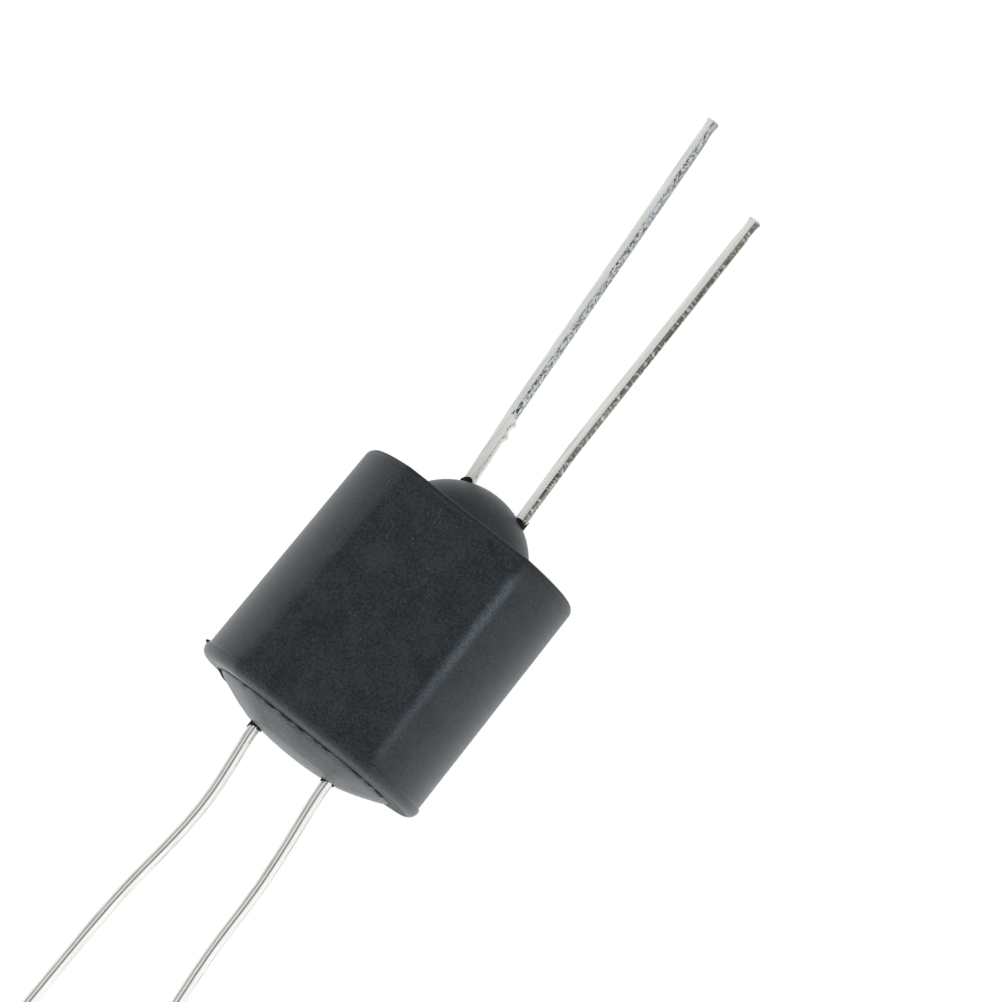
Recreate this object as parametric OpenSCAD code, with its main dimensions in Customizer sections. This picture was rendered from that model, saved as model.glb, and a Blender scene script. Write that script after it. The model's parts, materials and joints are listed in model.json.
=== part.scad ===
// Optocoupler: a lamp and a light cell that face each other inside one moulded case.
// The axis lies along X with the lamp end at +X, and the plain outer flat faces up.
// The origin is at the middle of the flat that the part lies on.

/* [Case] */
// Length of the case between its two end faces
case_length = 10.05; // [9:0.1:13]
// Diameter of the case at the lamp end
case_lamp_dia = 9.75; // [9:0.05:11]
// Diameter of the case above the lip at the open end
case_rim_dia = 10; // [9.2:0.05:11.2]
// Distance between the two flats
case_across_flats = 7.9; // [7.2:0.1:8.8]
// Rounding of the edge round the lamp end
case_edge_round = 0.45; // [0.1:0.05:0.8]
// Height of the lip round the open end
lip_height = 0.55; // [0.4:0.05:1]
// How far the lip stands out from the case
lip_proud = 0.08; // [0.02:0.01:0.2]
// Rounding of the lip's outer edge
lip_round = 0.44; // [0.1:0.01:0.44]
// Wall between the outside of the lip and the plug
rim_wall = 1; // [0.7:0.05:1.3]
// Diameter of the dome over the lamp, where it meets the case
dome_dia = 5.3; // [4.8:0.05:6]
// Height of the dome over the lamp
dome_height = 1.5; // [1.3:0.05:2]

/* [Plug] */
// Height of the plug's low dome above the open end
plug_dome_height = 0.91; // [0.4:0.01:1.1]
// Gap between the plug and the case on each side
plug_fit = 0.04; // [0.01:0.01:0.1]

/* [Lamp] */
// Thickness of the dome over the lamp's base, on the axis
lamp_cover = 1.3; // [0.9:0.05:1.6]
// Height of the lamp from its base to its tip
lamp_height = 5.3; // [4.5:0.1:6.2]
// Diameter of the lamp's lens
lens_dia = 3; // [2.8:0.05:3.4]
// Diameter of the lamp's base flange
flange_dia = 3.8; // [3.5:0.05:4]
// Height of the base flange
flange_height = 1; // [0.7:0.05:1.3]
// Distance from the axis to the flat on the flange
flange_flat = 1.65; // [1.55:0.05:1.9]
// Gap between the flange and its bore
lamp_fit = 0.05; // [0.02:0.01:0.1]
// Turn of the lamp about the axis, in degrees
lamp_turn = 8; // [0:1:30]

/* [Lamp leads] */
// Width and thickness of the square lamp leads
lead_width = 0.4; // [0.3:0.01:0.55]
// Distance between the two lamp leads
lead_pitch = 2.54; // [2.3:0.01:2.8]
// Length of the long lead outside the dome
anode_length = 16.5; // [8:0.1:28]
// Length of the short lead outside the dome
cathode_length = 14.3; // [7:0.1:26]
// Distance from the dome to the second bend of each lead
lead_knee = 3.1; // [3:0.1:6]
// Length of the tie bar's stub along the lead
stub_length = 0.95; // [0.5:0.05:1.2]
// Length of each torn tooth of the stub
stub_tooth = 0.4; // [0.2:0.05:0.45]
// How far the stub stands out from the lead
stub_height = 0.12; // [0.05:0.01:0.25]
// Distance from the dome to the middle of the stub
stub_place = 2.3; // [1.2:0.05:2.4]
// Gap between a lead or wire and its hole
lead_fit = 0.02; // [0.01:0.01:0.05]

/* [Lamp frame] */
// Height of the cup's rim above the lamp's base
frame_height = 2.4; // [2:0.05:2.8]
// Outside diameter of the chip's cup
cup_dia = 1; // [0.8:0.05:1.1]
// Height of the cup's body
cup_height = 0.6; // [0.4:0.05:0.8]
// Diameter of the cup's mouth
cup_mouth_dia = 0.8; // [0.6:0.05:0.9]
// Diameter of the cup's floor
cup_floor_dia = 0.5; // [0.4:0.05:0.55]
// Depth of the cup
cup_depth = 0.25; // [0.2:0.01:0.35]
// Distance from the axis to each post's centre
post_offset = 0.9; // [0.85:0.01:1.1]
// Straight foot of each post inside the flange
post_foot = 0.5; // [0.3:0.05:0.65]
// Side of the light-emitting chip
chip_side = 0.25; // [0.15:0.01:0.3]
// Height of the light-emitting chip
chip_height = 0.15; // [0.1:0.01:0.2]
// Diameter of the bond wire
bond_wire_dia = 0.05; // [0.03:0.01:0.08]

/* [Light cell] */
// Gap between the lamp's tip and the cell's face
light_gap = 0.3; // [0.1:0.05:0.8]
// Diameter of the cell
cell_dia = 5.1; // [4.8:0.05:5.4]
// Distance between the cell's two flats
cell_across_flats = 4.3; // [4:0.05:4.7]
// Gap between the cell and its bore
cell_fit = 0.1; // [0.02:0.01:0.2]
// Thickness of the ceramic disc
disc_thickness = 1.2; // [0.9:0.05:1.6]
// Thickness of the clear coat over the disc
coat_thickness = 0.4; // [0.35:0.01:0.6]
// Rounding of the coat's edge
coat_round = 0.15; // [0.05:0.01:0.2]
// Thickness of the light-sensitive film
film_thickness = 0.05; // [0.03:0.01:0.08]
// Bare border of the disc round the film
film_border = 0.12; // [0.05:0.01:0.25]
// Thickness of the metal combs
comb_thickness = 0.05; // [0.03:0.01:0.08]
// Width of one finger of a comb
finger_width = 0.25; // [0.15:0.01:0.3]
// Distance between neighbouring fingers
finger_pitch = 0.45; // [0.4:0.01:0.55]
// Distance from the axis to the spine of each comb
comb_spine = 1.15; // [1:0.05:1.2]
// Clear length between a finger's tip and the other comb
finger_end_gap = 0.25; // [0.15:0.01:0.4]
// Diameter of a joint of conductive paste
joint_dia = 0.9; // [0.7:0.05:1]
// Height of that joint above its comb
joint_height = 0.22; // [0.16:0.01:0.24]
// How far each wire stands up into its joint
wire_stand = 0.1; // [0.05:0.01:0.14]

/* [Cell wires] */
// Diameter of the cell's wires
wire_dia = 0.42; // [0.3:0.01:0.5]
// Distance between the two wires
wire_pitch = 3.4; // [3.1:0.05:3.7]
// Length of each wire outside the plug
wire_length = 18; // [10:0.1:30]

/* [Hidden] */
$fn = 96;

// Steps in a rounded corner, and how far a cut runs past what it cuts
corner_steps = 8;
overrun = 0.5;

// Lean of each lamp lead away from the axis, in degrees: below its knee, then above it
anode_lean_angles = [6.1, 4.6];
cathode_lean_angles = [-2.7, -0.3];

// Bends of the cell's wires: share of the free length, and the turn over it in degrees
wire_a_shares = [[0.025, 8], [0.04, 0], [0.29, -13.7], [0.06, 0], [0.2, 5], [0.385, 0]];
wire_b_shares = [[0.025, 4.5], [0.1, 2.6], [0.07, 0], [0.18, -6.1], [0.12, 4.7], [0.505, 0]];

// Rings along the bent part of a wire, points round each ring,
// how far the rings lie inside the round of the straight parts, and how far those lap over them
wire_rings = 24;
wire_sides = 16;
ring_inset = 0.004;
wire_lap = 0.04;

// Half sizes of the case
flat_offset = case_across_flats / 2;
rim_radius = case_rim_dia / 2;
lamp_end_radius = case_lamp_dia / 2;

// Stations along the axis, with 0 at the middle of the case
lamp_end = case_length / 2;
open_end = -case_length / 2;
dome_top = lamp_end + dome_height;
lamp_base = dome_top - lamp_cover;
lamp_tip = lamp_base - lamp_height;
cell_face = lamp_tip - light_gap;
disc_front = cell_face - coat_thickness;
disc_back = disc_front - disc_thickness;
plug_top = open_end - plug_dome_height;
film_top = disc_front + film_thickness;
comb_top = film_top + comb_thickness;

// Levels of the lamp's frame
cup_rim = lamp_base - frame_height;
cup_floor = cup_rim + cup_depth;
chip_top = cup_floor - chip_height;

// Half sizes of the plug's pocket
pocket_radius = rim_radius + lip_proud - rim_wall;
pocket_flat = flat_offset + lip_proud - rim_wall;
plug_radius = pocket_radius - plug_fit;
plug_flat = pocket_flat - plug_fit;

// Half sizes of the film on the cell
film_radius = cell_dia / 2 - film_border;
film_flat = cell_across_flats / 2 - film_border;

// Radius of the ball whose cap has this half width and height
function cap_radius(half_width, height) = (half_width ^ 2 + height ^ 2) / (2 * height);

// Points along an arc, from one angle to another
function arc(centre, radius, from, to) = [
    for (i = [0:corner_steps])
        let (angle = from + (to - from) * i / corner_steps)
        centre + radius * [cos(angle), sin(angle)]
];

function backwards(list) = [for (i = [len(list) - 1:-1:0]) list[i]];

// Half outline of the case: out along the open end, round the lip, up the side and in again
function case_outline(rim_half, lamp_half) =
    let (lip_half = rim_half + lip_proud)
    let (lip_top = open_end + lip_height)
    let (corner = min(lip_round, 0.95 * (lip_height - lip_proud)))
    concat(
        [[0, open_end]],
        arc([lip_half - corner, open_end + corner], corner, -90, 0),
        [[lip_half, lip_top - lip_proud], [rim_half, lip_top]],
        arc([lamp_half - case_edge_round, lamp_end - case_edge_round], case_edge_round, 0, 90),
        [[0, lamp_end]]
    );

// One side of a strip along a path, mitred at the bends
function strip_side(path, offset) = [
    for (i = [0:len(path) - 1])
        let (before = path[max(i, 1)] - path[max(i, 1) - 1])
        let (after = path[min(i + 1, len(path) - 1)] - path[min(i, len(path) - 2)])
        let (left = [-before[1], before[0]] / norm(before))
        let (middle = before / norm(before) + after / norm(after))
        let (mitre = [-middle[1], middle[0]] / norm(middle))
        path[i] + mitre * offset / (mitre * left)
];

// Outline of a strip of even width along a path
function strip(path, width) = concat(strip_side(path, width / 2), backwards(strip_side(path, -width / 2)));

// Point at a distance along a heading, in degrees from the axis
function along(start, distance, heading) = start + distance * [sin(heading), cos(heading)];

// Path of a lamp lead from the top of its post to its tip, drawn on the side away from the axis
function lead_path(lean, length) =
    let (exit = [lead_pitch / 2, dome_top])
    let (knee = along(exit, lead_knee, lean[0]))
    [
        [post_offset, chip_top],
        [post_offset, lamp_base - flange_height],
        [lead_pitch / 2, lamp_base - post_foot],
        exit,
        knee,
        along(knee, length - lead_knee, lean[1]),
    ];

// Lays a piece that stands along Z on its flat, with its axis along X
module lay() {
    translate([0, 0, flat_offset]) rotate([0, 90, 0]) children();
}

// The lamp's own turn about the axis
module lamp() {
    lay() rotate([0, 0, -lamp_turn]) children();
}

// A flat plate of an outline drawn across the axis and along it
module plate(thickness) {
    rotate([90, 0, 90]) linear_extrude(thickness, center = true) children();
}

// A round with two flats
module double_d(radius, flat) {
    intersection() {
        circle(radius);
        square([2 * flat, 2 * radius], center = true);
    }
}

module between(low, high) {
    translate([0, 0, low]) linear_extrude(high - low) children();
}

// A round rod along the axis at a place across it
module rod(place, dia, low, high) {
    translate([0, place, low]) cylinder(d = dia, h = high - low);
}

// Outside of the case: a drafted round cut by two flats, with the dome on its end
module case_form() {
    flat_outline = case_outline(flat_offset, flat_offset);
    intersection() {
        rotate_extrude() polygon(case_outline(rim_radius, lamp_end_radius));
        rotate([90, 0, 0])
            linear_extrude(2 * (rim_radius + lip_proud + overrun), center = true)
                polygon(concat(flat_outline, backwards([for (p = flat_outline) [-p[0], p[1]]])));
    }
    dome_radius = cap_radius(dome_dia / 2, dome_height);
    translate([0, 0, dome_top - dome_radius]) sphere(dome_radius);
}

// Square holes in the dome for the lamp's leads
module lead_holes() {
    hole = lead_width + 2 * lead_fit;
    for (side = [-1, 1])
        between(lamp_base - overrun, dome_top + overrun)
            translate([0, side * lead_pitch / 2])
                square(hole, center = true);
}

module case_body() {
    color([0.17, 0.18, 0.19])
    difference() {
        lay() case_form();
        lay() between(open_end - overrun, disc_back) double_d(pocket_radius, pocket_flat);
        lay() rod(0, cell_dia + 2 * cell_fit, disc_back - overrun, cell_face);
        lay() rod(0, flange_dia + 2 * lamp_fit, cell_face - overrun, lamp_base);
        lamp() lead_holes();
    }
}

// Clear holes for the cell's wires
module wire_holes(low, high) {
    for (side = [-1, 1])
        rod(side * wire_pitch / 2, wire_dia + 2 * lead_fit, low, high);
}

// Outer end of the plug: a ball for the round sides and a barrel for the flats, crossing clear of the corners
module plug_dome() {
    step = plug_dome_height / 16;
    ball = cap_radius(plug_radius - step, plug_dome_height);
    barrel = cap_radius(plug_flat + step, plug_dome_height);
    intersection() {
        translate([0, 0, plug_top + ball]) sphere(ball);
        translate([0, 0, plug_top + barrel])
            rotate([90, 0, 0]) cylinder(r = barrel, h = 2 * (plug_radius + overrun), center = true);
    }
}

module end_plug() {
    color([0.27, 0.28, 0.29])
    lay() difference() {
        intersection() {
            between(plug_top - overrun, disc_back) double_d(plug_radius, plug_flat);
            plug_dome();
        }
        wire_holes(plug_top - overrun, disc_back + overrun);
    }
}

// Torn stub of the tie bar: two teeth on the side of the lead that faces the other lead
module lead_stub(lean) {
    exit = [lead_pitch / 2, dome_top];
    inner = [-lead_width / 2, 0];
    out = [-stub_height, 0];
    root = [lead_width / 2, 0];
    for (half = [-1, 1]) {
        tooth = stub_place + half * (stub_length - stub_tooth) / 2;
        low = along(exit, tooth - stub_tooth / 2, lean[0]) + inner;
        peak = along(exit, tooth, lean[0]) + inner;
        high = along(exit, tooth + stub_tooth / 2, lean[0]) + inner;
        polygon([low + root, low, peak + out, high, high + root]);
    }
}

// One stamped lamp lead with its post, on the side away from the axis
module stamped_lead(lean, length) {
    plate(lead_width) {
        polygon(strip(lead_path(lean, length), lead_width));
        children();
    }
}

module anode_form() {
    stamped_lead(anode_lean_angles, anode_length) lead_stub(anode_lean_angles);
}

// The cathode carries the cup that holds the chip
module cathode_form() {
    bracket_root = cup_rim + cup_height;
    post_root = lamp_base - flange_height;
    bracket = [[0, cup_rim], [-post_offset, cup_rim], [-post_offset, post_root], [0, bracket_root]];
    difference() {
        union() {
            mirror([0, 1, 0]) stamped_lead(cathode_lean_angles, cathode_length);
            rod(0, cup_dia, cup_rim, bracket_root);
            plate(lead_width) polygon(bracket);
        }
        translate([0, 0, cup_rim])
            cylinder(d1 = cup_mouth_dia, d2 = cup_floor_dia, h = cup_depth);
    }
}

module chip_form() {
    translate([0, 0, chip_top + chip_height / 2])
        cube([chip_side, chip_side, chip_height], center = true);
}

// A half turn of fine wire from the chip to the anode's post
module bond_wire_form() {
    translate([0, post_offset / 2, chip_top])
        rotate([-90, 0, 90])
            rotate_extrude(angle = 180)
                translate([post_offset / 2, 0]) circle(d = bond_wire_dia);
}

// Outside of the lamp's lens: base flange with its flat, round body and ball tip
module lens_form() {
    lens_radius = lens_dia / 2;
    intersection() {
        rod(0, flange_dia, lamp_base - flange_height, lamp_base);
        translate([-flange_dia, -flange_flat, lamp_base - flange_height])
            cube([2 * flange_dia, flange_flat + flange_dia, flange_height]);
    }
    rod(0, lens_dia, lamp_tip + lens_radius, lamp_base);
    translate([0, 0, lamp_tip + lens_radius]) sphere(lens_radius);
}

module led_lens() {
    color([0.85, 0.88, 0.9])
    lamp() difference() {
        lens_form();
        anode_form();
        cathode_form();
        chip_form();
        bond_wire_form();
    }
}

module led_anode_lead() {
    color([0.8, 0.8, 0.78]) lamp() anode_form();
}

module led_cathode_lead() {
    color([0.8, 0.8, 0.78]) lamp() cathode_form();
}

module led_chip() {
    color([0.7, 0.55, 0.2]) lamp() chip_form();
}

module led_bond_wire() {
    color([0.85, 0.7, 0.3]) lamp() bond_wire_form();
}

module cell_disc() {
    color([0.9, 0.88, 0.82])
    lay() difference() {
        between(disc_back, disc_front) double_d(cell_dia / 2, cell_across_flats / 2);
        wire_holes(disc_back - overrun, disc_front + overrun);
    }
}

module film_form() {
    difference() {
        between(disc_front, film_top) double_d(film_radius, film_flat);
        wire_holes(disc_front - overrun, film_top + overrun);
    }
}

module cell_film() {
    color([0.75, 0.35, 0.15]) lay() film_form();
}

// One comb: a spine on its own side and fingers that reach towards the other comb.
// The fingers of the two combs take turns across the face, as far out as the spine carries them.
module comb_outline(side) {
    reach = comb_spine - finger_end_gap;
    widest = min(film_flat, sqrt(film_radius ^ 2 - comb_spine ^ 2)) - finger_width / 2;
    shift = side < 0 ? 0 : finger_pitch;
    last = ceil(widest / finger_pitch);
    mirror([0, side < 0 ? 1 : 0]) intersection() {
        double_d(film_radius, film_flat);
        union() {
            translate([-film_radius, comb_spine]) square([2 * film_radius, film_radius]);
            for (i = [-last:last])
                let (place = 2 * i * finger_pitch + shift)
                if (abs(place) <= widest)
                    translate([place - finger_width / 2, -reach])
                        square([finger_width, reach + comb_spine + finger_width]);
        }
    }
}

module comb_form(side) {
    difference() {
        between(film_top, comb_top) comb_outline(side);
        wire_holes(film_top - overrun, comb_top + overrun);
    }
}

module cell_electrode_a() {
    color([0.78, 0.76, 0.7]) lay() comb_form(1);
}

module cell_electrode_b() {
    color([0.78, 0.76, 0.7]) lay() comb_form(-1);
}

// A drop of paste on the comb round the end of a wire
module joint_blank(side) {
    ball = cap_radius(joint_dia / 2, joint_height);
    intersection() {
        translate([0, side * wire_pitch / 2, comb_top + joint_height - ball]) sphere(ball);
        rod(side * wire_pitch / 2, joint_dia, comb_top, comb_top + joint_height);
        between(comb_top, comb_top + joint_height) double_d(film_radius, film_flat);
    }
}

module joint_form(side) {
    difference() {
        joint_blank(side);
        rod(side * wire_pitch / 2, wire_dia, comb_top - overrun, comb_top + wire_stand);
    }
}

module cell_joint_a() {
    color([0.62, 0.62, 0.64]) lay() joint_form(1);
}

module cell_joint_b() {
    color([0.62, 0.62, 0.64]) lay() joint_form(-1);
}

// Half outline of the clear coat, with a rounded front edge
function coat_outline(half) = concat(
    [[0, disc_front], [half, disc_front]],
    arc([half - coat_round, cell_face - coat_round], coat_round, 0, 90),
    [[0, cell_face]]
);

module cell_coating() {
    flat_outline = coat_outline(cell_across_flats / 2);
    color([0.85, 0.75, 0.6])
    lay() difference() {
        intersection() {
            rotate_extrude() polygon(coat_outline(cell_dia / 2));
            rotate([90, 0, 0])
                linear_extrude(cell_dia, center = true)
                    polygon(concat(flat_outline, backwards([for (p = flat_outline) [-p[0], p[1]]])));
        }
        between(disc_front, film_top) double_d(film_radius, film_flat);
        for (side = [-1, 1]) {
            between(film_top, comb_top) comb_outline(side);
            joint_blank(side);
        }
    }
}

// Heading of a wire after a share of its length, in degrees from straight out towards -Y
function heading(rows, reach, i = 0) =
    i == len(rows) || reach <= 0 ? 0
    : rows[i][1] * min(reach / rows[i][0], 1) + heading(rows, reach - rows[i][0], i + 1);

// Share of a wire's length that is bent: all its rows but the last
function bent_share(rows, i = 0) = i == len(rows) - 1 ? 0 : rows[i][0] + bent_share(rows, i + 1);

function outward(angle) = [0, -sin(angle), -cos(angle)];

// Points along the bent part of a wire, from the plug outwards
function wire_route(rows) =
    let (step = bent_share(rows) / wire_rings)
    [
        for (i = 0, at = [0, 0, 0];
            i <= wire_rings;
            at = at + step * wire_length * outward(heading(rows, (i + 1 / 2) * step)), i = i + 1)
        at
    ];

// The bent part of a wire: rings of points along its route, square to its heading
module bent_wire(rows) {
    route = wire_route(rows);
    radius = wire_dia / 2 - ring_inset;
    step = bent_share(rows) / wire_rings;
    rings = [
        for (i = [0:wire_rings])
            let (turn = heading(rows, i * step))
            for (k = [0:wire_sides - 1])
                let (angle = 360 * k / wire_sides)
                route[i] + radius * [cos(angle), sin(angle) * cos(turn), -sin(angle) * sin(turn)]
    ];
    sides = [
        for (i = [0:wire_rings - 1])
            for (k = [0:wire_sides - 1])
                let (next = (k + 1) % wire_sides)
                let (ring = i * wire_sides, beyond = (i + 1) * wire_sides)
                [ring + k, ring + next, beyond + next, beyond + k]
    ];
    first = [for (k = [0:wire_sides - 1]) wire_sides - 1 - k];
    last = [for (k = [0:wire_sides - 1]) wire_rings * wire_sides + k];
    polyhedron(rings, concat(sides, [first, last]));
}

// A wire from its joint straight through the plug, then bent, then straight to its end
module cell_wire(side, rows) {
    lay() translate([0, side * wire_pitch / 2, plug_top]) {
        rod(0, wire_dia, -wire_lap, comb_top + wire_stand - plug_top);
        bent_wire(rows);
        translate(wire_route(rows)[wire_rings])
            rotate([180 - heading(rows, 1), 0, 0])
                rod(0, wire_dia, -wire_lap, (1 - bent_share(rows)) * wire_length);
    }
}

module cell_wire_a() {
    color([0.75, 0.75, 0.74]) cell_wire(1, wire_a_shares);
}

module cell_wire_b() {
    color([0.75, 0.75, 0.74]) cell_wire(-1, wire_b_shares);
}

case_body();
end_plug();
led_lens();
led_anode_lead();
led_cathode_lead();
led_chip();
led_bond_wire();
cell_disc();
cell_film();
cell_electrode_a();
cell_electrode_b();
cell_joint_a();
cell_joint_b();
cell_coating();
cell_wire_a();
cell_wire_b();
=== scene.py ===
"""Looks of the optocoupler: moulded case and plug, stamped lamp leads, drawn cell wires and the bench."""

import json
import logging
import math
from contextlib import contextmanager
from dataclasses import dataclass, field
from enum import Enum
from typing import Callable, Iterator

import bmesh
import bpy
from mathutils import Matrix, Vector

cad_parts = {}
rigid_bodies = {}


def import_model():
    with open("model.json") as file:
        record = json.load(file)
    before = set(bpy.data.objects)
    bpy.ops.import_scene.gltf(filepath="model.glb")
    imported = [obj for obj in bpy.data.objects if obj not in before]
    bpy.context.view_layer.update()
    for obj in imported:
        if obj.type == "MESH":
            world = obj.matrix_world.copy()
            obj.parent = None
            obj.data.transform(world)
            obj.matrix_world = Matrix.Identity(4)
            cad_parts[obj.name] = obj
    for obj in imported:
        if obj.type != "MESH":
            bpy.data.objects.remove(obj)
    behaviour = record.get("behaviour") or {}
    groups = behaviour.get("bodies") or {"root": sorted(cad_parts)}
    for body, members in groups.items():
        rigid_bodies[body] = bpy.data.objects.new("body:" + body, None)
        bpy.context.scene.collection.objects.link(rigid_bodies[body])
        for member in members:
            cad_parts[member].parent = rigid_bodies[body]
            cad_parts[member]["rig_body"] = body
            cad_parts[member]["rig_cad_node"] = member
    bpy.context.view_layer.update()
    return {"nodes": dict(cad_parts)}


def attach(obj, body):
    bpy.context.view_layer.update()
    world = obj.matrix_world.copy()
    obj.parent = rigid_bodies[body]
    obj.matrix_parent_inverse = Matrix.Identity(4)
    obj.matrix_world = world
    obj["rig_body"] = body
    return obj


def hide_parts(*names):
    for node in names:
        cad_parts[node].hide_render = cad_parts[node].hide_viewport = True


log = logging.getLogger("optocoupler")

# Lengths are in millimetres until finish_piece takes a piece to metres. Finishes are in metres.
MM = 0.001
AXIS_HEIGHT = 3.95  # of the case's axis over the board
ALONG_AXIS = (0.0, math.pi / 2, 0.0)  # turns a primitive along the case
ON_PLANE = 2e-3  # how far off a plane a point still counts as on it
ON_CORNER = 1e-3  # how far off a corner it still counts as on it
RUNS_ALONG = 0.1  # least length of an edge that runs along the case
OVERLAP = 0.5  # how far a tool body reaches past what it cuts
CORNER_STEPS = 9  # facets across a rounded corner of a pocket or plug
CORNER_CLEAR = 1.25  # share of a corner's rounding that is cleared of edges first
SIDES = (1, -1)

Colour = tuple[float, float, float]
Point = tuple[float, float, float]
Span = tuple[float, float]
Piece = bpy.types.Object
Socket = bpy.types.NodeSocket
Edge = bmesh.types.BMEdge
Face = bmesh.types.BMFace


class Pick(Enum):
    """Which part of a mesh a selection takes."""

    VERT = "VERT"
    EDGE = "EDGE"
    FACE = "FACE"


class Slot(Enum):
    """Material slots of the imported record."""

    CASE = "case_rubber"
    PLUG = "plug_rubber"
    LEAD = "tinned_lead"
    WIRE = "tinned_wire"


def select_only(piece: Piece) -> None:
    """Leaves one object selected and active.

    Args:
        piece: The object to work on.
    """
    bpy.ops.object.select_all(action="DESELECT")
    piece.select_set(True)
    bpy.context.view_layer.objects.active = piece


@contextmanager
def editing(piece: Piece) -> Iterator[None]:
    """Opens a piece in edit mode with nothing selected, and leaves edit mode at the end.

    Args:
        piece: The mesh object to edit.
    """
    select_only(piece)
    bpy.ops.object.mode_set(mode="EDIT")
    bpy.ops.mesh.select_all(action="DESELECT")
    yield
    bpy.ops.object.mode_set(mode="OBJECT")


def pick(kind: Pick, test: Callable[..., bool]) -> None:
    """Selects what passes a test in the mesh that is open in edit mode.

    Args:
        kind: Vertices, edges or faces.
        test: Says whether one of them is taken.
    """
    bpy.ops.mesh.select_mode(type=kind.value)
    bpy.ops.mesh.select_all(action="DESELECT")
    mesh = bpy.context.edit_object.data
    work = bmesh.from_edit_mesh(mesh)
    work.normal_update()
    items = {Pick.VERT: work.verts, Pick.EDGE: work.edges, Pick.FACE: work.faces}[kind]
    for item in [item for item in items if test(item)]:
        item.select_set(True)
    work.select_flush_mode()
    bmesh.update_edit_mesh(mesh)


def middle(item: Edge | Face) -> Vector:
    """The mean of an edge's or a face's corners."""
    return sum((v.co for v in item.verts), Vector()) / len(item.verts)


def slice_across(place: Point, normal: Point, keep_below: bool = False) -> None:
    """Cuts the whole open mesh with a plane, and can remove what lies beyond it and fill the cut."""
    bpy.ops.mesh.select_all(action="SELECT")
    bpy.ops.mesh.bisect(
        plane_co=place, plane_no=normal, use_fill=keep_below, clear_outer=keep_below, threshold=1e-5
    )


def cut_flats(flat: float) -> None:
    """Cuts the open mesh to two flats, each so many millimetres off the axis."""
    for side in SIDES:
        slice_across((0, 0, AXIS_HEIGHT + side * flat), (0, 0, side), keep_below=True)


def bevel(width: float, steps: int, clamp: bool = False) -> None:
    """Rounds the selected edges of the open mesh, and can stop where one round would run into another."""
    bpy.ops.mesh.bevel(offset=width, segments=steps, profile=0.5, affect="EDGES", clamp_overlap=clamp)


def named(name: str) -> Piece:
    """Names the active object and its mesh, and applies its place.

    Args:
        name: The piece's name.

    Returns:
        The active object.
    """
    piece = bpy.context.active_object
    piece.name = name
    piece.data.name = name
    bpy.ops.object.transform_apply(location=True, rotation=True, scale=True)
    return piece


def modify(piece: Piece, kind: str, **settings: object) -> None:
    """Adds a modifier to a piece and applies it.

    Args:
        piece: The mesh object.
        kind: The modifier's type.
        **settings: Its properties.
    """
    select_only(piece)
    bpy.ops.object.modifier_add(type=kind)
    modifier = piece.modifiers[-1]
    for key, value in settings.items():
        setattr(modifier, key, value)
    bpy.ops.object.modifier_apply(modifier=modifier.name)


def combine(piece: Piece, tool: Piece, operation: str) -> None:
    """Joins a tool body to a piece or cuts it out of the piece, and removes the tool body."""
    modify(piece, "BOOLEAN", operation=operation, object=tool, solver="EXACT")
    bpy.data.objects.remove(tool)


def round_bar(
    start: float, end: float, radius: float, across: float = 0.0, sides: int = 64, name: str = "bar"
) -> Piece:
    """A round bar along the case's axis.

    Args:
        start: Where it starts along the axis, in millimetres.
        end: Where it ends.
        radius: Its radius.
        across: How far it stands to the side of the axis.
        sides: Facets round it.
        name: Its name.

    Returns:
        The bar.
    """
    bpy.ops.mesh.primitive_cylinder_add(
        vertices=sides,
        radius=radius,
        depth=end - start,
        location=((start + end) / 2, across, AXIS_HEIGHT),
        rotation=ALONG_AXIS,
    )
    return named(name)


def ease_corners(radius: float, flat: float, width: float) -> None:
    """Rounds the corners of a round with two flats that is open in edit mode.

    Args:
        radius: Its radius, in millimetres.
        flat: How far each flat lies off the axis.
        width: How far along each side the rounding starts.
    """
    across = math.sqrt(radius**2 - flat**2)

    def off_corner(edge: Edge) -> float:
        """Distance of an edge along the axis from the nearest corner, or a large one."""
        first, last = (v.co for v in edge.verts)
        if abs(first.x - last.x) < RUNS_ALONG:
            return math.inf
        return math.hypot(abs(first.y) - across, abs(first.z - AXIS_HEIGHT) - flat)

    pick(Pick.EDGE, lambda e: ON_CORNER < off_corner(e) < CORNER_CLEAR * width)
    bpy.ops.mesh.dissolve_edges(use_verts=True)
    pick(Pick.EDGE, lambda e: off_corner(e) < ON_CORNER)
    bevel(width, CORNER_STEPS)


def weld(piece: Piece, reach: float = 3e-4) -> None:
    """Merges points that fall together, so that no face is left without area.

    Args:
        piece: The object to clean, in millimetres.
        reach: How close together merged points stand, in millimetres.
    """
    with editing(piece):
        bpy.ops.mesh.select_all(action="SELECT")
        bpy.ops.mesh.remove_doubles(threshold=reach)
        bpy.ops.mesh.dissolve_degenerate(threshold=reach)


def copy_of_node(node: str, name: str) -> Piece:
    """A merged copy of a CAD node's mesh, in millimetres, with flat faces in one piece.

    Args:
        node: The CAD node.
        name: The new piece's name.

    Returns:
        The copy.
    """
    select_only(bpy.data.objects[node])
    bpy.ops.object.duplicate()
    piece = bpy.context.active_object
    bpy.ops.object.parent_clear(type="CLEAR")
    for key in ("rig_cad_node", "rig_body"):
        del piece[key]
    piece.data.materials.clear()
    piece.scale = (1 / MM,) * 3
    named(name)
    with editing(piece):
        bpy.ops.mesh.select_all(action="SELECT")
        bpy.ops.mesh.customdata_custom_splitnormals_clear()
        bpy.ops.mesh.remove_doubles(threshold=1e-4)
        bpy.ops.mesh.dissolve_limited(angle_limit=math.radians(0.3))
    return piece


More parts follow.
